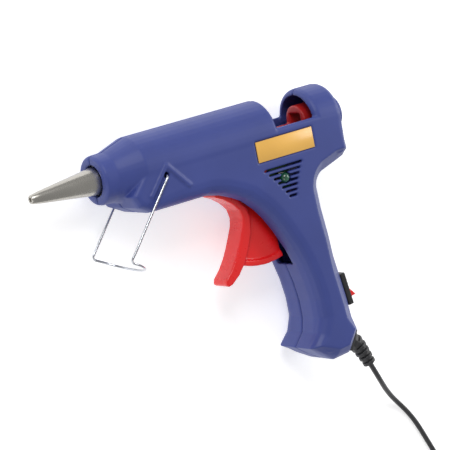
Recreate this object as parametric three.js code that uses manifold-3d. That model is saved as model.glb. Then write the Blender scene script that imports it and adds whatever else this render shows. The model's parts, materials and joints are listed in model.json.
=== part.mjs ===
// Hot-melt glue gun lying on its right side, with its wire stand, trigger feed and mains lead.
// Millimetres. X runs rearward along the barrel, Y is the gun's own up, Z points to the gun's left,
// which faces up as it lies.
import * as THREE from 'three';
import { mergeVertices } from 'three/addons/utils/BufferGeometryUtils.js';
import Module from 'manifold-3d';

const wasm = await Module();
wasm.setup();

// ---- Driving dimensions (measured from the centre of the collar's front face) ----
const ORIGIN = new THREE.Vector3(48.6, -45.505, -16.5); // bottom centre of the gun's box
const GAP = 0.3;              // clearance between touching pieces
const HALF_WIDTH = 14.6;      // body's half thickness
const WALL = 2.2;             // shell wall
const BARREL_R = 14.8;
const BARREL_END = 88;        // rear face of the barrel, where the hand slot starts
const HOOD_START = 109;
const HOOD_END = 123.6;
const BOSS_R = 8;             // stick inlet boss
const BOSS_END = 128.7;
const RAIL_Y = 2.2;           // top of the walls beside the hand slot
const STICK_BORE_R = 3.9;     // clears a 7 mm glue stick
const PIVOT = [76, -22];      // trigger pivot
const FAN_R = 34;             // trigger fan's rim about the pivot
const STAND_PIVOT = [27.5, -3.7];
const STAND_CORNER = [1.2, -34.7];
const STAND_HALF = 15.5;
const WIRE_R = 0.65;
const LED = [87.3, -19.7];
const SWITCH = [112, -77.8];
const SWITCH_TILT = 0.14;     // handle back leans by this angle, radians
const RELIEF = [110.4, -99.6];
const RELIEF_TILT = -0.507;   // lead leaves this far below rearward, radians
const SCREWS = [[18.5, -13], [47, -13.6], [120, -13.5], [100, -62], [95, -98]];
const CORD_R = 1.2;
const FLOOR = ORIGIN.z;      // surface that the gun lies on
const LAID = FLOOR + CORD_R + 0.06; // height of the lead's centre where it lies
const PLUG = [117, -215];     // where the lead enters the plug
const COIL = { x: 150, y: -212, middle: 14, half: 5.6, height: 7.6 };

// ---- Solids and booleans ----
function solid(geometry) {
  const bare = geometry.clone();
  bare.deleteAttribute('normal');
  bare.deleteAttribute('uv');
  const merged = mergeVertices(bare, 1e-4);
  const corners = merged.index.array;
  const triangles = [];
  for (let i = 0; i < corners.length; i += 3) {
    const [a, b, c] = [corners[i], corners[i + 1], corners[i + 2]];
    if (a !== b && b !== c && c !== a) triangles.push(a, b, c);
  }
  return new wasm.Manifold(new wasm.Mesh({
    numProp: 3,
    vertProperties: new Float32Array(merged.attributes.position.array),
    triVerts: new Uint32Array(triangles),
  }));
}

function geometryOf(shape) {
  const mesh = shape.getMesh();
  const geometry = new THREE.BufferGeometry();
  geometry.setAttribute('position', new THREE.BufferAttribute(mesh.vertProperties, 3));
  geometry.setIndex(new THREE.BufferAttribute(mesh.triVerts, 1));
  return geometry;
}

const join = (...shapes) => shapes.reduce((all, next) => all.add(next));
const cut = (shape, ...tools) => tools.reduce((left, tool) => left.subtract(tool), shape);

// Box from its centre and full sizes, turned about Z by angle.
function block(x, y, z, sx, sy, sz, angle = 0) {
  return solid(new THREE.BoxGeometry(sx, sy, sz).rotateZ(angle).translate(x, y, z));
}

// Solid of revolution about a line along X; profile is [x, r] and starts and ends on the axis.
function turned(profile, segments = 32, y = 0, z = 0) {
  const points = profile.map(([x, r]) => new THREE.Vector2(r, x));
  const lathe = new THREE.LatheGeometry(points, segments);
  return solid(lathe.rotateZ(-Math.PI / 2).translate(0, y, z));
}

function rod(x0, x1, radius, segments = 24, y = 0, z = 0) {
  return turned([[x0, 0], [x0, radius], [x1, radius], [x1, 0]], segments, y, z);
}

// Cylinder along Z.
function peg(x, y, z0, z1, radius, segments = 20) {
  const cylinder = new THREE.CylinderGeometry(radius, radius, z1 - z0, segments);
  return solid(cylinder.rotateX(Math.PI / 2).translate(x, y, (z0 + z1) / 2));
}

// Flat outline in X-Y, extruded from z0 to z1.
function plate(points, z0, z1) {
  const shape = new THREE.Shape(points.map(([x, y]) => new THREE.Vector2(x, y)));
  return solid(new THREE.ExtrudeGeometry(shape, { depth: z1 - z0, bevelEnabled: false }).translate(0, 0, z0));
}

function tube(path, radius, sides, steps) {
  const section = new THREE.Shape();
  for (let i = 0; i < sides; i++) {
    const angle = (i / sides) * 2 * Math.PI;
    const point = [radius * Math.cos(angle), radius * Math.sin(angle)];
    if (i === 0) section.moveTo(...point);
    else section.lineTo(...point);
  }
  section.closePath();
  return solid(new THREE.ExtrudeGeometry(section, { extrudePath: path, steps, bevelEnabled: false }));
}

const curve = (points) => new THREE.CatmullRomCurve3(points.map((p) => new THREE.Vector3(...p)));

// ---- Body outline: x, y, edge width, edge form ----
const ROUND = 'round';
const CHAMFER = 'chamfer';
function arc(cx, cy, radius, from, to, count, edge, form) {
  return Array.from({ length: count + 1 }, (_, i) => {
    const angle = THREE.MathUtils.degToRad(from + ((to - from) * i) / count);
    return [cx + radius * Math.cos(angle), cy + radius * Math.sin(angle), edge, form];
  });
}

// Runs anticlockwise seen from the gun's left: underside, handle front, bottom, back, lobe, top.
const OUTLINE = [
  [9, -9, 3, ROUND], [11.5, -14.4, 3, ROUND], [17.6, -18, 5, ROUND], [33, -18.4, 7, ROUND], [49, -18.4, 7, ROUND],
  [56, -20, 7, ROUND], [62, -22.6, 7, ROUND], [67, -25.4, 7, ROUND], [72.3, -30.4, 7, ROUND],
  [76.2, -35.4, 7, ROUND], [80, -41.6, 7, ROUND], [85.2, -52, 7, ROUND], [88, -59.6, 7, ROUND],
  [90.2, -68, 7, ROUND], [91.5, -77, 7, ROUND], [91.5, -85, 7, ROUND], [90, -91.3, 5, ROUND],
  [84.8, -97, 2.5, CHAMFER], [91, -101.6, 4, CHAMFER], [98, -105.8, 5, CHAMFER], [107.2, -105, 5, CHAMFER],
  [112.6, -95.4, 4, CHAMFER], [112.9, -88, 7.4, CHAMFER], [112.3, -81.4, 7.4, CHAMFER], [110.1, -65.3, 7.4, CHAMFER],
  [108, -51, 6, CHAMFER], [106.7, -38, 6, CHAMFER], ...arc(114, -29.5, 7.6, 190, 118, 6, 6, CHAMFER),
  [118.5, -20.3, 6, CHAMFER], [123.7, -18.6, 5, CHAMFER], [125.4, -15.8, 4, CHAMFER], [123.6, -3.4, 3, ROUND],
  [123.3, RAIL_Y, 2, ROUND], [HOOD_START, RAIL_Y, 1, ROUND], [BARREL_END, RAIL_Y, 1, ROUND], [20, RAIL_Y, 1, ROUND],
];

// Point moved inward by inset, where the two edges meeting there move by the same inset.
function insetPoint(outline, index, inset) {
  const count = outline.length;
  const here = outline[index];
  const before = outline[(index + count - 1) % count];
  const after = outline[(index + 1) % count];
  const inward = (a, b) => new THREE.Vector2(a[1] - b[1], b[0] - a[0]).normalize();
  const first = inward(before, here);
  const second = inward(here, after);
  const scale = inset / (1 + first.dot(second));
  return [here[0] + (first.x + second.x) * scale, here[1] + (first.y + second.y) * scale];
}

const insetOutline = (outline, inset) => outline.map((p, i) => [...insetPoint(outline, i, inset), p[2], p[3]]);

// How far an edge has drawn in at a depth below the side face.
function drawIn(edge, form, depth) {
  const left = Math.max(0, 1 - depth / edge);
  if (form === CHAMFER) return edge * left;
  return edge * (1 - Math.sqrt(Math.max(0, 1 - left * left)));
}

// Outline extruded to both sides of Z = 0, its edges rounded or chamfered by point.
function edgedPlate(outline, half, depths, edgeLess = 0) {
  const levels = [...depths.map((d) => half - d), ...depths.map((d) => d - half).reverse()];
  const rings = levels.map((z) => outline.map(([, , edge, form], i) => {
    const width = Math.max(0.6, edge - edgeLess);
    const [x, y] = insetPoint(outline, i, drawIn(width, form, half - Math.abs(z)));
    return [x, y, z];
  }));
  const count = outline.length;
  const index = [];
  for (let level = 0; level + 1 < rings.length; level++) {
    for (let i = 0; i < count; i++) {
      const a = level * count + i;
      const b = level * count + ((i + 1) % count);
      index.push(a, b + count, b, a, a + count, b + count);
    }
  }
  const cap = (ring) => THREE.ShapeUtils.triangulateShape(ring.map(([x, y]) => new THREE.Vector2(x, y)), []);
  const last = (rings.length - 1) * count;
  cap(rings[0]).forEach(([a, b, c]) => index.push(a, b, c));
  cap(rings.at(-1)).forEach(([a, b, c]) => index.push(last + a, last + c, last + b));
  const geometry = new THREE.BufferGeometry();
  geometry.setAttribute('position', new THREE.Float32BufferAttribute(rings.flat(2), 3));
  geometry.setIndex(index);
  return solid(geometry);
}

// ---- Shells ----
function outerBody() {
  const barrel = turned([[0, 0], [0, 9.9], [0.9, 10.8], [6.5, 11], [18.6, BARREL_R], [86.8, BARREL_R],
    [BARREL_END, BARREL_R - 1.2], [BARREL_END, 0]], 36);
  const hood = turned([[HOOD_START, 0], [HOOD_START, 12.9], [HOOD_START + 0.8, 14.1], [HOOD_START + 2.4, HALF_WIDTH],
    [HOOD_END - 2.4, HALF_WIDTH], [HOOD_END - 0.6, 13.6], [HOOD_END, 12], [HOOD_END, BOSS_R],
    [BOSS_END - 0.8, BOSS_R], [BOSS_END, BOSS_R - 0.8], [BOSS_END, 0]], 36);
  return join(edgedPlate(OUTLINE, HALF_WIDTH, [0, 0.5, 1.6, 3.2, 6, 7.4]), barrel, hood);
}

function cavity() {
  const barrel = turned([[WALL, 0], [WALL, 8.6], [7, 8.8], [19, BARREL_R - WALL], [85.8, BARREL_R - WALL], [85.8, 0]], 24);
  const hood = turned([[HOOD_START - 1, 0], [HOOD_START - 1, 11.9], [121.4, 11.9], [121.4, 0]], 24);
  const inside = edgedPlate(insetOutline(OUTLINE, WALL), HALF_WIDTH - WALL, [0, 2, 5], 2);
  return join(inside, barrel, hood);
}

function vents() {
  const rows = 7;
  return Array.from({ length: rows }, (_, row) => {
    const y = -14.7 - 2.25 * row;
    const left = 76.7 + 2.2 * row - 0.075 * row * row;
    const right = 97.6 - 1.35 * row + 0.07 * row * row;
    return block((left + right) / 2, y, HALF_WIDTH, right - left, 1.05, 6);
  });
}

function standRib(side) {
  const z = side * HALF_WIDTH;
  return [-0.72, 0.72].map((angle) => {
    const reach = 15.5;
    const x = 28 + Math.sin(angle) * reach / 2;
    const y = 0.5 - Math.cos(angle) * reach / 2;
    return block(x, y, z, 1.6, reach, 1.4, angle);
  });
}

function openings() {
  const throat = rod(-1, WALL + 1, 6.9, 32);
  const stickWay = rod(80, BOSS_END + 1, 5.9, 24);
  const slot = block((BARREL_END + HOOD_START) / 2, 0, 0, HOOD_START - BARREL_END - 1.2, 10, 24.4);
  const triggerWay = plate([[53.6, -12], [53.6, -26], [70, -37], [84, -59.5], [93, -59.5], [98, -46], [84, -12]], -5.9, 5.9);
  const switchWay = inSwitch(block(-4, 0, 0, 14, 13.8, 11.8));
  const leadWay = solid(new THREE.CylinderGeometry(3.5, 3.5, 16, 20).rotateZ(Math.PI / 2)
    .rotateZ(RELIEF_TILT).translate(RELIEF[0], RELIEF[1], 0));
  const standHoles = [-1, 1].map((s) => peg(...STAND_PIVOT, s * 14 - 4, s * 14 + 4, WIRE_R + 0.75, 12));
  return [throat, stickWay, slot, triggerWay, switchWay, leadWay, ...standHoles];
}

function wholeBody() {
  const ribs = [-1, 1].flatMap(standRib);
  const hollow = cut(join(outerBody(), ...ribs), cavity());
  const pillars = SCREWS.map(([x, y]) => peg(x, y, -13, 13, 3.3, 16));
  const pinSeats = [-1, 1].map((s) => peg(...PIVOT, s > 0 ? 10 : -13, s > 0 ? 13 : -10, 3.4, 16));
  const pinHole = peg(...PIVOT, -11.8, 11.8, 1.8, 16);
  return cut(join(hollow, ...pillars, ...pinSeats), pinHole, ...openings());
}

function leftShell(body) {
  const half = block(40, -50, 25.15, 260, 200, 50);
  const label = block(90.1, -5.75, HALF_WIDTH, 31.6, 10.1, 1.4);
  const ledHole = peg(...LED, 8, 16, 2.65, 20);
  const screwHoles = SCREWS.map(([x, y]) => peg(x, y, -1, 6, 1.6, 12));
  return cut(body.intersect(half), label, ledHole, ...vents(), ...screwHoles);
}

function rightShell(body) {
  const half = block(40, -50, -25.15, 260, 200, 50);
  const screwHoles = SCREWS.map(([x, y]) => peg(x, y, -16, 1, 1.6, 12));
  const headSeats = SCREWS.map(([x, y]) => peg(x, y, -16, -10.2, 3, 20));
  const bottoms = SCREWS.map(([x, y]) => peg(x, y, -13, -8, 3.9, 16));
  return cut(join(body.intersect(half), ...bottoms), ...screwHoles, ...headSeats);
}

// ---- Heating train, front to rear ----
function nozzle() {
  const outside = turned([[-31.5, 0], [-31.5, 1.7], [-30.9, 2], [-27, 2.7], [0, 6.1], [4, 6.1], [4, 3.4], [8, 3.4], [8, 0]], 40);
  return cut(outside, rod(-32, 9, 1, 16));
}

function nozzleCollar() {
  return cut(rod(4 + GAP, 7.4, 8.3, 28), rod(3, 9, 3.7, 20));
}

const meltChamber = () => cut(rod(8 + GAP, 52, 7.4, 28), rod(7, 53, STICK_BORE_R, 20));
const heaterPlate = () => block(33.5, -9.4, 0, 17, 2.6, 8);

function heaterClip() {
  const outer = block(33, -4.3, 0, 9, 17, 18.6);
  const inner = block(33, -2.5, 0, 10, 17.2, 17);
  return cut(outer, inner);
}

const inletSleeve = () => cut(join(rod(52 + GAP, 64, 5.4, 24), rod(62, 64, 6.8, 24)), rod(51, 65, STICK_BORE_R, 20));

function returnSpring() {
  const turns = 5;
  const points = Array.from({ length: turns * 8 + 1 }, (_, i) => {
    const angle = (i / 8) * 2 * Math.PI;
    return [65 + (16.6 * i) / (turns * 8), 4.9 * Math.cos(angle), 4.9 * Math.sin(angle)];
  });
  return tube(curve(points), 0.45, 4, turns * 9);
}

const rearGuide = () => cut(join(rod(118.9, BOSS_END - 0.3, 5.5, 28), rod(118.9, 120.6, 7.4, 28)),
  rod(118, 130, STICK_BORE_R, 24));

// ---- Trigger feed ----
function trigger() {
  const bar = plate([[55, -20.8], [59.5, -23], [63.5, -26], [66.3, -29.4], [67.1, -33.5], [66.4, -37], [64.7, -40.5],
    [62.3, -45.2], [59.5, -49.9], [56.4, -54], [53, -57.2], [52.4, -59.4], [53.6, -60.6], [55.8, -60],
    [60, -57], [64, -52.6], [67.4, -46.6], [70.2, -40.4], [71.4, -34], [70.4, -29], [66.5, -24], [61.5, -20],
    [58, -18.9], [55.4, -19.2]].reverse(), -5.35, 5.35);
  const groove = plate([[50, -60], [64.8, -38], [66.4, -33.5], [64, -28], [52, -20], [50, -20]], -0.6, 0.6);
  const arcPoint = (radius, degrees) => {
    const angle = THREE.MathUtils.degToRad(degrees);
    return [PIVOT[0] + radius * Math.cos(angle), PIVOT[1] + radius * Math.sin(angle)];
  };
  const sweep = Array.from({ length: 9 }, (_, i) => 249 + (i * 37) / 8);
  const rim = plate([...sweep.map((a) => arcPoint(FAN_R, a)), ...sweep.map((a) => arcPoint(FAN_R - 2.6, a)).reverse()], -4.3, 4.3);
  const web = plate([[68, -26], ...sweep.map((a) => arcPoint(FAN_R - 1, a)), [83.5, -30], [80, -17.5], [72, -17.5]], -3.2, 3.2);
  const hub = peg(...PIVOT, -9.3, 9.3, 4, 20);
  const prongs = [-1, 1].map((s) => {
    const flat = plate([[73.4, -20.8], [77.6, -24], [88, -2.9], [86.9, -0.6], [84.6, -0.9]], s > 0 ? 7.5 : -9.3, s > 0 ? 9.3 : -7.5);
    return join(flat, peg(86.2, -2.2, s > 0 ? 5 : -8, s > 0 ? 8 : -5, 1.4, 12));
  });
  return cut(join(cut(bar, groove), rim, web, hub, ...prongs), peg(...PIVOT, -10, 10, 1.8, 16));
}

const triggerPin = () => peg(...PIVOT, -11.5, 11.5, 1.5, 16);

function carriage() {
  const crown = peg(0, 0, 0, 10, 7, 28).rotate([0, 90, 0]).translate([108, 0.5, 0]);
  const base = block(113, -3.2, 0, 10, 7.4, 14);
  const rails = [-1, 1].map((s) => block(96, -4.3, s * 5.85, 25, 7.4, 2.3));
  const pinSlots = [-1, 1].map((s) => block(86.2, -1.8, s * 5.85, 3.4, 6.4, 4));
  const floorBar = block(103.5, -6.2, 0, 10, 1.8, 13);
  const stickWay = block(112, 0, 0, 30, 7.8, 7.8);
  const jawSeat = block(113, -4.8, 0, 6.6, 2.6, 6.2);
  return cut(join(crown, base, ...rails, floorBar), ...pinSlots, stickWay, jawSeat);
}

function gripJaw() {
  const teeth = Array.from({ length: 4 }, (_, i) => [110.3 + 1.4 * i, 1.4]);
  const top = teeth.flatMap(([x, pitch]) => [[x, -4.5], [x + pitch / 2, -3.7]]);
  return plate([[110.2, -5.8], [115.8, -5.8], [115.8, -4.5], ...top.reverse()], -2.8, 2.8);
}

// ---- Stand, label, light ----
function wireStand() {
  const [px, py] = STAND_PIVOT;
  const [cx, cy] = STAND_CORNER;
  const side = (s) => [[px, py, s * 11.6], [px, py, s * 14.6], [px - 0.5, py - 0.6, s * (STAND_HALF + 0.2)],
    ...[0.12, 0.35, 0.65, 0.94].map((t) => [px + (cx - px) * t, py + (cy - py) * t, s * (STAND_HALF + 0.2)])];
  const loop = Array.from({ length: 11 }, (_, i) => {
    const angle = (i / 10) * Math.PI;
    const depth = 14.5 * Math.sin(angle);
    return [cx + depth * 0.85, cy - depth * 0.53, STAND_HALF * Math.cos(angle)];
  });
  return tube(curve([...side(1), ...loop, ...side(-1).reverse()]), WIRE_R, 6, 72);
}

const labelPlate = () => block(90.1, -5.75, HALF_WIDTH - 0.15, 30.6, 9.1, 0.5);

function ledLens() {
  const profile = [[9, 0], [9, 2.7], [10, 2.7], [10, 2.25], [13.6, 2.25], [14.8, 1.7], [15.4, 0.8], [15.6, 0]];
  const points = profile.map(([z, r]) => new THREE.Vector2(r, z));
  const narrowed = points.map((p) => new THREE.Vector2(Math.min(p.x, 2.3), p.y));
  return solid(new THREE.LatheGeometry(narrowed, 20).rotateX(Math.PI / 2).translate(LED[0], LED[1], 0));
}

const ledBoard = () => block(LED[0] + 0.7, -20.6, 7.9, 10, 12, 1.4);

// ---- Switch, local frame: +X out of the handle's back ----
const inSwitch = (shape) => shape.rotate([0, 0, THREE.MathUtils.radToDeg(SWITCH_TILT)]).translate([...SWITCH, 0]);

function switchBody() {
  const bezel = block(1.7, 0, 0, 2.8, 15, 14);
  const box = block(-5, 0, 0, 11, 12.8, 11);
  return inSwitch(cut(join(bezel, box), block(0.8, 0, 0, 7.6, 12.2, 9.6)));
}

function switchRocker() {
  const rocker = plate([[-1, -3], [-1, 3], [1, 5], [4.2, 5.2], [4, 0], [7.2, -4.9], [2.6, -5]], -4.5, 4.5);
  return inSwitch(rocker);
}

const switchTab = (y) => inSwitch(block(-14, y, 0, 6.4, 0.8, 4.6));

// ---- Lead ----
function cordGrip() {
  return cut(block(102.5, -90, 2.4, 5, 5, 3.4), block(102.5, -90, 0.4, 6, 2.6, 2));
}

const leadOut = new THREE.Vector3(Math.cos(RELIEF_TILT), Math.sin(RELIEF_TILT), 0);

function strainRelief() {
  const at = (s) => [RELIEF[0] + leadOut.x * s, RELIEF[1] + leadOut.y * s, 0];
  const flange = block(...at(2.5), 4.2, 10, 9.6, RELIEF_TILT);
  const neck = solid(new THREE.CylinderGeometry(3.1, 3.1, 6, 20).rotateZ(Math.PI / 2 + RELIEF_TILT)
    .translate(...at(-1.5)));
  const bend = curve([at(4), [117.4, -104], [120.4, -109], [122.9, -114.4]]);
  const pieces = Array.from({ length: 13 }, (_, i) => {
    const t = i / 12;
    const radius = (i % 2 ? 3.1 : 4.5) - 1.4 * t;
    const place = bend.getPoint(t);
    const way = bend.getTangent(t);
    const disc = new THREE.CylinderGeometry(radius, radius, 1.7, 10);
    disc.rotateZ(Math.atan2(way.y, way.x) - Math.PI / 2).translate(place.x, place.y, 0);
    return solid(disc);
  });
  return join(flange, neck, ...pieces);
}

// Route of the lead from the strain relief to the coil, hand-laid on the surface.
const CORD_ROUTE = [
  [123.7, -115.9, -0.3], [126.6, -121, -1.4], [129.8, -125.4, -3.6], [133.4, -129.6, -6.8], [137.4, -133.9, -10],
  [141.2, -137.8, -12.6], [144.9, -141.4, -14.6], [148.5, -145.5, LAID], [151.6, -150, LAID],
  [154.2, -154.6, LAID], [156.6, -160, LAID], [159.6, -167, LAID], [163, -175, LAID],
  [166.3, -183.5, LAID], [168.6, -192, LAID], [169.6, -198, LAID],
];

function cordCoil() {
  const { middle, half, height } = COIL;
  const corner = 1.2;
  const section = [[middle - half, corner], [middle - half + corner, 0], [middle + half - corner, 0], [middle + half, corner],
    [middle + half, height - corner], [middle + half - corner, height], [middle - half + corner, height],
    [middle - half, height - corner], [middle - half, corner]];
  const lathe = new THREE.LatheGeometry(section.map(([r, z]) => new THREE.Vector2(r, z)), 32);
  return solid(lathe.rotateX(Math.PI / 2).translate(COIL.x, COIL.y, FLOOR + 0.05));
}

function cordTie() {
  const x = COIL.x;
  const y = COIL.y - COIL.middle;
  return cut(block(x, y, FLOOR + 4.4, 4, 13.6, 8.8), block(x, y, FLOOR + 3.8, 5, 11.9, 8.4));
}

function plugBody() {
  const shape = [[-3, 0], [3, 0], [6.6, 9], [7, 24], [6.4, 33], [-6.4, 33], [-7, 24], [-6.6, 9]];
  return plate(shape.map(([x, y]) => [x * 1.8 + PLUG[0], y + PLUG[1]]), FLOOR + 0.1, FLOOR + 11.6);
}

function plugPin(side) {
  const pin = new THREE.CylinderGeometry(2, 2, 18.4, 14);
  return solid(pin.translate(PLUG[0] + side * 9.3, PLUG[1] + 33 + GAP + 9.2, FLOOR + 5.8));
}

// ---- Assembly ----
const BLUE = { color: 0x3c4891, roughness: 0.5, metalness: 0 };
const RED = { color: 0xf01919, roughness: 0.3, metalness: 0 };
const BLACK = { color: 0x18181a, roughness: 0.6, metalness: 0 };
const STEEL = { color: 0xa8a7a2, roughness: 0.3, metalness: 1 };
const ALUMINIUM = { color: 0xc4c6c8, roughness: 0.45, metalness: 1 };
const WHITE = { color: 0xe8e6e0, roughness: 0.6, metalness: 0 };

const gun = new THREE.Group();
function add(name, shape, look) {
  const mesh = new THREE.Mesh(geometryOf(shape), new THREE.MeshStandardMaterial(look));
  mesh.name = name;
  gun.add(mesh);
}

const body = wholeBody();
add('left_shell', leftShell(body), BLUE);
add('right_shell', rightShell(body), BLUE);
add('nozzle', nozzle(), STEEL);
add('nozzle_insulator', nozzleCollar(), WHITE);
add('melt_chamber', meltChamber(), ALUMINIUM);
add('heater_plate', heaterPlate(), WHITE);
add('heater_clip', heaterClip(), STEEL);
add('inlet_sleeve', inletSleeve(), WHITE);
add('return_spring', returnSpring(), STEEL);
add('rear_guide', rearGuide(), BLACK);
add('trigger', trigger(), RED);
add('trigger_pin', triggerPin(), STEEL);
add('carriage', carriage(), RED);
add('grip_jaw', gripJaw(), STEEL);
add('wire_stand', wireStand(), STEEL);
add('label_plate', labelPlate(), { color: 0xf7c45a, roughness: 0.35, metalness: 0 });
add('led_lens', ledLens(), { color: 0x0d4a30, roughness: 0.15, metalness: 0 });
add('led_board', ledBoard(), { color: 0x1d5a34, roughness: 0.5, metalness: 0 });
add('switch_body', switchBody(), BLACK);
add('switch_rocker', switchRocker(), RED);
add('switch_tab_1', switchTab(-3.6), STEEL);
add('switch_tab_2', switchTab(3.6), STEEL);
SCREWS.forEach(([x, y], i) => {
  const shank = peg(x, y, -12, 5, 1.3, 12);
  const head = peg(x, y, -13.4, -10.5, 2.6, 20);
  const cross = [0, Math.PI / 2].map((angle) => block(x, y, -13.4, 3, 0.8, 1.6, angle + Math.PI / 4));
  add(`housing_screw_${i + 1}`, cut(join(shank, head), ...cross), STEEL);
});
add('cord_grip', cordGrip(), BLACK);
add('strain_relief', strainRelief(), BLACK);
add('power_cord', tube(curve(CORD_ROUTE), CORD_R, 8, 40), BLACK);
add('cord_coil', cordCoil(), BLACK);
add('cord_tie', cordTie(), BLACK);
add('plug_body', plugBody(), BLACK);
add('plug_pin_1', plugPin(-1), STEEL);
add('plug_pin_2', plugPin(1), STEEL);
gun.position.copy(ORIGIN).negate();

export default gun;
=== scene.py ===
"""Glue gun lying on its right side, its stand out and its lead coiled beside it."""
import json
import math

import bpy
from mathutils import Matrix, Vector


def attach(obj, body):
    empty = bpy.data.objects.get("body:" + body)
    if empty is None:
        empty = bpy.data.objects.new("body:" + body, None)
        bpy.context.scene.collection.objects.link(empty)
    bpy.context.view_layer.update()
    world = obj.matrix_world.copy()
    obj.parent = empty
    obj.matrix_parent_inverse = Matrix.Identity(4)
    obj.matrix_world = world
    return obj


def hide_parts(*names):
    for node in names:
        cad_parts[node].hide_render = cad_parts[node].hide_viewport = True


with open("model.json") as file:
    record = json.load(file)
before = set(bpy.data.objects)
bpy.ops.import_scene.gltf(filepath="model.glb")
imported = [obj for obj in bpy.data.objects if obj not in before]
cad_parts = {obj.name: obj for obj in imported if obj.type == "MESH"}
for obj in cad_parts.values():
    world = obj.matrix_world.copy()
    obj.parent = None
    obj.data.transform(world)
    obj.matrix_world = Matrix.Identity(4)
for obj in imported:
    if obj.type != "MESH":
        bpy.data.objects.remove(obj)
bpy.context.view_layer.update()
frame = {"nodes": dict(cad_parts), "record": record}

MM = 0.001
WELD = 0.000001  # metres within which doubled corners join
# The frame's origin, in the gun's own millimetres from the centre of the collar's front face.
ORIGIN = Vector((48.6, -45.505, -16.5))
CORD_R = 1.2
LAID = ORIGIN.z + CORD_R + 0.06  # height of the lead's centre where it lies
COIL_X, COIL_Y = 150, -212

# Camera: a long lens looking at the gun's left side from the front.
VIEW_RIGHT = Vector((0.803, -0.190, 0.565))
VIEW_UP = Vector((0.210, 0.976, -0.061))
VIEW_DISTANCE = 1.2
VIEW_WIDTH = 0.1957  # width that the picture covers at the gun
SENSOR = 36


def place(x, y, z=0.0):
    """Metres in the frame, from the gun's own millimetres."""
    return (Vector((x, y, z)) - ORIGIN) * MM


# ---- Camera ----
def make_camera():
    right = VIEW_RIGHT.normalized()
    up = (VIEW_UP - right * VIEW_UP.dot(right)).normalized()
    toward = right.cross(up)
    camera = bpy.data.objects.new("camera", bpy.data.cameras.new("camera"))
    bpy.context.scene.collection.objects.link(camera)
    camera.data.sensor_width = SENSOR
    camera.data.lens = SENSOR * VIEW_DISTANCE / VIEW_WIDTH
    spot = place(60.9, -34.7) + toward * VIEW_DISTANCE
    turn = Matrix((right, up, toward)).transposed().to_4x4()
    camera.matrix_world = Matrix.Translation(spot) @ turn
    bpy.context.scene.camera = camera


make_camera()


# ---- Materials ----
def new_material(name, color, roughness, metallic=0.0):
    material = bpy.data.materials.new(name)
    material.use_nodes = True
    shader = material.node_tree.nodes["Principled BSDF"]
    shader.inputs["Base Color"].default_value = (*color, 1)
    shader.inputs["Roughness"].default_value = roughness
    shader.inputs["Metallic"].default_value = metallic
    return material, shader


def noise(material, scale, detail=3.0, stretch=(1, 1, 1)):
    nodes = material.node_tree.nodes
    links = material.node_tree.links
    where = nodes.new("ShaderNodeTexCoord")
    mapping = nodes.new("ShaderNodeMapping")
    mapping.inputs["Scale"].default_value = stretch
    texture = nodes.new("ShaderNodeTexNoise")
    texture.inputs["Scale"].default_value = scale
    texture.inputs["Detail"].default_value = detail
    links.new(where.outputs["Object"], mapping.inputs["Vector"])
    links.new(mapping.outputs["Vector"], texture.inputs["Vector"])
    return texture.outputs["Fac"]


def vary(material, shader, socket, source, low, high):
    """Drives a shader's value or colour between low and high by a noise."""
    nodes = material.node_tree.nodes
    links = material.node_tree.links
    if socket == "Base Color":
        ramp = nodes.new("ShaderNodeValToRGB")
        ramp.color_ramp.elements[0].color = (*low, 1)
        ramp.color_ramp.elements[1].color = (*high, 1)
        ramp.color_ramp.elements[0].position = 0.3
        ramp.color_ramp.elements[1].position = 0.7
        links.new(source, ramp.inputs["Fac"])
        links.new(ramp.outputs["Color"], shader.inputs[socket])
        return
    span = nodes.new("ShaderNodeMapRange")
    span.inputs["To Min"].default_value = low
    span.inputs["To Max"].default_value = high
    links.new(source, span.inputs["Value"])
    links.new(span.outputs["Result"], shader.inputs[socket])


def bump(material, shader, source, height, strength=0.4):
    nodes = material.node_tree.nodes
    links = material.node_tree.links
    node = nodes.new("ShaderNodeBump")
    node.inputs["Distance"].default_value = height
    node.inputs["Strength"].default_value = strength
    links.new(source, node.inputs["Height"])
    links.new(node.outputs["Normal"], shader.inputs["Normal"])


def shade(color, factor):
    return tuple(channel * factor for channel in color)


def plastic(name, color, low, high, grain=2600, sheen_coat=0.0, grain_height=0.00003):
    material, shader = new_material(name, color, (low + high) / 2)
    shader.inputs["Coat Weight"].default_value = sheen_coat
    shader.inputs["Coat Roughness"].default_value = 0.2
    vary(material, shader, "Base Color", noise(material, 45), shade(color, 0.93), shade(color, 1.06))
    vary(material, shader, "Roughness", noise(material, 160), low, high)
    bump(material, shader, noise(material, grain, 2.0), grain_height)
    return material


def metal(name, color, low, high, stretch):
    material, shader = new_material(name, color, (low + high) / 2, 1.0)
    streaks = noise(material, 900, 4.0, stretch)
    vary(material, shader, "Roughness", streaks, low, high)
    vary(material, shader, "Base Color", noise(material, 60), shade(color, 0.85), color)
    bump(material, shader, streaks, 0.00002, 0.3)
    return material


def led_glass():
    material, shader = new_material("led_green", (0.01, 0.09, 0.05), 0.12)
    shader.inputs["Coat Weight"].default_value = 0.8
    shader.inputs["Transmission Weight"].default_value = 0.25
    vary(material, shader, "Base Color", noise(material, 500), (0.005, 0.06, 0.03), (0.02, 0.16, 0.08))
    return material


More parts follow.
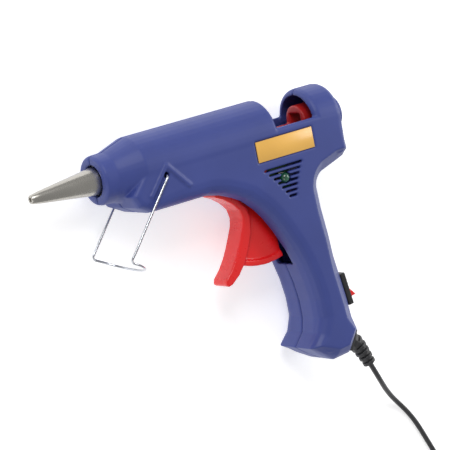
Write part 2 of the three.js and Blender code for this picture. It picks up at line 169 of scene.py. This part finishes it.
BLUE = plastic("blue_body", (0.041, 0.062, 0.265), 0.42, 0.52, grain_height=0.00004)
RED = plastic("red_gloss", (0.82, 0.010, 0.010), 0.24, 0.32, sheen_coat=0.25, grain_height=0.00001)
RED_DULL = plastic("red_feed", (0.42, 0.01, 0.01), 0.35, 0.45)
BLACK = plastic("black_plastic", (0.012, 0.012, 0.013), 0.35, 0.48)
PVC = plastic("cord_pvc", (0.03, 0.03, 0.033), 0.38, 0.5, grain=1500)
YELLOW = plastic("label_yellow", (0.90, 0.50, 0.10), 0.3, 0.4, sheen_coat=0.4, grain_height=0.00001)
WHITE = plastic("white_insulator", (0.75, 0.73, 0.68), 0.5, 0.7)
GREEN_BOARD = plastic("board_green", (0.02, 0.10, 0.04), 0.3, 0.4)
STEEL = metal("turned_steel", (0.52, 0.50, 0.46), 0.2, 0.36, (8, 1, 1))
BRIGHT = metal("bright_wire", (0.6, 0.62, 0.66), 0.12, 0.2, (1, 1, 1))
ALUMINIUM = metal("cast_aluminium", (0.65, 0.66, 0.67), 0.35, 0.5, (1, 1, 1))
LED = led_glass()

SLOT_OF = {row["node"]: row["material_slot"] for row in frame["record"]["subparts"]}
BODY_OF = {node: name for name, nodes in frame["record"]["behaviour"]["bodies"].items() for node in nodes}
FINISH = {
    "blue_body": BLUE, "red_plastic": RED, "black_plastic": BLACK, "cord_pvc": PVC, "steel": STEEL,
    "bright_wire": BRIGHT, "aluminium": ALUMINIUM, "white_insulator": WHITE, "label": YELLOW,
    "led_green": LED, "circuit_board": GREEN_BOARD,
}


# ---- Pieces made from the CAD nodes ----
def apply_modifiers(piece):
    graph = bpy.context.evaluated_depsgraph_get()
    mesh = bpy.data.meshes.new_from_object(piece.evaluated_get(graph))
    piece.modifiers.clear()
    piece.data = mesh


def copy_of(node, name):
    piece = bpy.data.objects.new(name, frame["nodes"][node].data.copy())
    bpy.context.scene.collection.objects.link(piece)
    return piece


def finish_piece(piece, node, material=None):
    piece.data.materials.clear()
    piece.data.materials.append(material or FINISH[SLOT_OF[node]])
    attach(piece, BODY_OF[node])
    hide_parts(node)
    return piece


def moulded(node, voxel, smoothing, keep, material=None):
    """A moulding with soft edges: the node's shape in even cells of voxel mm, relaxed in smoothing
    passes, then thinned to a share of its faces."""
    piece = copy_of(node, node + "_moulded")
    remesh = piece.modifiers.new("cells", "REMESH")
    remesh.mode = "VOXEL"
    remesh.voxel_size = voxel * MM
    relax = piece.modifiers.new("relax", "SMOOTH")
    relax.factor = 0.5
    relax.iterations = smoothing
    thin = piece.modifiers.new("thin", "DECIMATE")
    thin.ratio = keep
    apply_modifiers(piece)
    piece.data.shade_smooth()
    return finish_piece(piece, node, material)


def eased(node, edge=0.25, angle=35, material=None):
    """A turned or stamped piece with its sharp edges broken."""
    piece = copy_of(node, node + "_eased")
    weld = piece.modifiers.new("weld", "WELD")
    weld.merge_threshold = WELD
    bevel = piece.modifiers.new("edges", "BEVEL")
    bevel.width = edge * MM
    bevel.segments = 2
    bevel.limit_method = "ANGLE"
    bevel.angle_limit = math.radians(angle)
    apply_modifiers(piece)
    piece.data.shade_smooth()
    piece.data.set_sharp_from_angle(angle=math.radians(angle))
    return finish_piece(piece, node, material)


def rounded(node):
    """A bent wire, its faceted section made round."""
    piece = copy_of(node, node + "_rounded")
    weld = piece.modifiers.new("weld", "WELD")
    weld.merge_threshold = WELD
    piece.modifiers.new("round", "SUBSURF").levels = 1
    apply_modifiers(piece)
    piece.data.shade_smooth()
    return finish_piece(piece, node)


moulded("left_shell", voxel=0.36, smoothing=9, keep=0.3)
moulded("right_shell", voxel=0.42, smoothing=9, keep=0.35)
moulded("trigger", voxel=0.4, smoothing=10, keep=0.4)
moulded("carriage", voxel=0.4, smoothing=6, keep=0.4, material=RED_DULL)
moulded("switch_body", voxel=0.28, smoothing=4, keep=0.5)
moulded("switch_rocker", voxel=0.25, smoothing=6, keep=0.5)
moulded("strain_relief", voxel=0.28, smoothing=5, keep=0.5)
moulded("plug_body", voxel=0.5, smoothing=26, keep=0.5)
for name in ("nozzle", "melt_chamber", "heater_clip", "inlet_sleeve", "rear_guide", "nozzle_insulator",
             "trigger_pin", "grip_jaw", "led_lens", "label_plate", "led_board", "heater_plate",
             "switch_tab_1", "switch_tab_2", "cord_grip", "cord_tie", "plug_pin_1", "plug_pin_2"):
    eased(name, edge=0.12)
for number in range(1, 6):
    eased(f"housing_screw_{number}", edge=0.1)
for name in ("wire_stand", "return_spring"):
    rounded(name)


# ---- Lead ----
CORD_ROUTE = [
    (123.4, -115.4, -0.1), (126.6, -121, -1.4), (129.8, -125.4, -3.6), (133.4, -129.6, -6.8),
    (137.4, -133.9, -10), (141.2, -137.8, -12.6), (144.9, -141.4, -14.6), (148.5, -145.5, LAID),
    (151.6, -150, LAID), (154.2, -154.6, LAID), (156.6, -160, LAID), (159.6, -167, LAID),
    (163, -175, LAID), (166.3, -183.5, LAID), (168.6, -192, LAID), (169.6, -198, LAID),
]
TURNS_PER_LAYER = 3.718
LAYERS = 3
OUTER_TURN, INNER_TURN = 18.4, 9.6
STEPS_PER_TURN = 24
RISE_SHARE = 0.07    # end of a layer over which the lead climbs to the next
LAYER_HEIGHT = 2.42


def coil_points():
    """Flat spirals, inward then outward, one on another, turning clockwise from above."""
    points = []
    total = TURNS_PER_LAYER * LAYERS
    count = round(total * STEPS_PER_TURN)
    for step in range(count + 1):
        turn = total * step / count
        layer = min(LAYERS - 1, int(turn / TURNS_PER_LAYER))
        along = turn / TURNS_PER_LAYER - layer
        inward = along if layer % 2 == 0 else 1 - along
        radius = OUTER_TURN + (INNER_TURN - OUTER_TURN) * inward
        rise = max(0.0, (along - 1 + RISE_SHARE) / RISE_SHARE) if layer < LAYERS - 1 else 0.0
        angle = math.radians(-5 - 360 * turn)
        height = LAID + LAYER_HEIGHT * (layer + rise)
        points.append((COIL_X + radius * math.cos(angle), COIL_Y + radius * math.sin(angle), height))
    return points


def tail_points(start):
    """From the last inner turn over the coil and round into the plug."""
    top = start[2]
    return [
        (start[0] - 4, start[1] - 2.2, top + 1.2), (start[0] - 9, start[1] - 4.8, top + 2.3),
        (140, -228.5, top + 2), (134.5, -232, LAID + 4), (129, -234.5, LAID + 1.6),
        (123, -233.5, LAID + 1.6), (118.9, -229, LAID + 3), (117.2, -223.5, LAID + 4.2),
        (117, -219, LAID + 4.6), (117, -214.6, LAID + 4.7),
    ]


def make_cord():
    coil = coil_points()
    route = CORD_ROUTE + coil + tail_points(coil[-1])
    curve = bpy.data.curves.new("power_lead", "CURVE")
    curve.dimensions = "3D"
    curve.bevel_depth = CORD_R * MM
    curve.bevel_resolution = 3
    curve.resolution_u = 3
    curve.use_fill_caps = True
    spline = curve.splines.new("NURBS")
    spline.points.add(len(route) - 1)
    for point, spot in zip(spline.points, route):
        point.co = (*place(*spot), 1)
    spline.order_u = 4
    spline.use_endpoint_u = True
    piece = bpy.data.objects.new("power_lead", curve)
    bpy.context.scene.collection.objects.link(piece)
    curve.materials.append(PVC)
    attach(piece, "housing")
    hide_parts("power_cord", "cord_coil")


make_cord()


# ---- Floor and light ----
def make_studio():
    bpy.ops.mesh.primitive_plane_add(size=6, location=(0, 0, -0.0005))
    floor = bpy.context.object
    floor.name = "floor"
    material, shader = new_material("floor_white", (0.93, 0.93, 0.93), 0.9)
    shader.inputs["Emission Color"].default_value = (1, 1, 1, 1)
    shader.inputs["Emission Strength"].default_value = 0.5
    floor.data.materials.append(material)
    world = bpy.data.worlds.new("studio")
    bpy.context.scene.world = world
    world.use_nodes = True
    world.node_tree.nodes["Background"].inputs["Color"].default_value = (1, 1, 1, 1)
    world.node_tree.nodes["Background"].inputs["Strength"].default_value = 0.42
    for name, spot, size, power in (("key", (-0.35, 0.9, 0.8), 0.5, 6), ("fill", (-0.8, -0.6, 0.6), 0.7, 2),
                                    ("rim", (0.9, 0.2, 0.5), 0.5, 4)):
        light = bpy.data.lights.new(name, "AREA")
        light.size = size
        light.energy = power
        lamp = bpy.data.objects.new(name, light)
        bpy.context.scene.collection.objects.link(lamp)
        lamp.location = spot
        lamp.rotation_euler = (-Vector(spot)).to_track_quat("-Z", "Y").to_euler()


make_studio()
bpy.context.scene.view_settings.view_transform = "Standard"
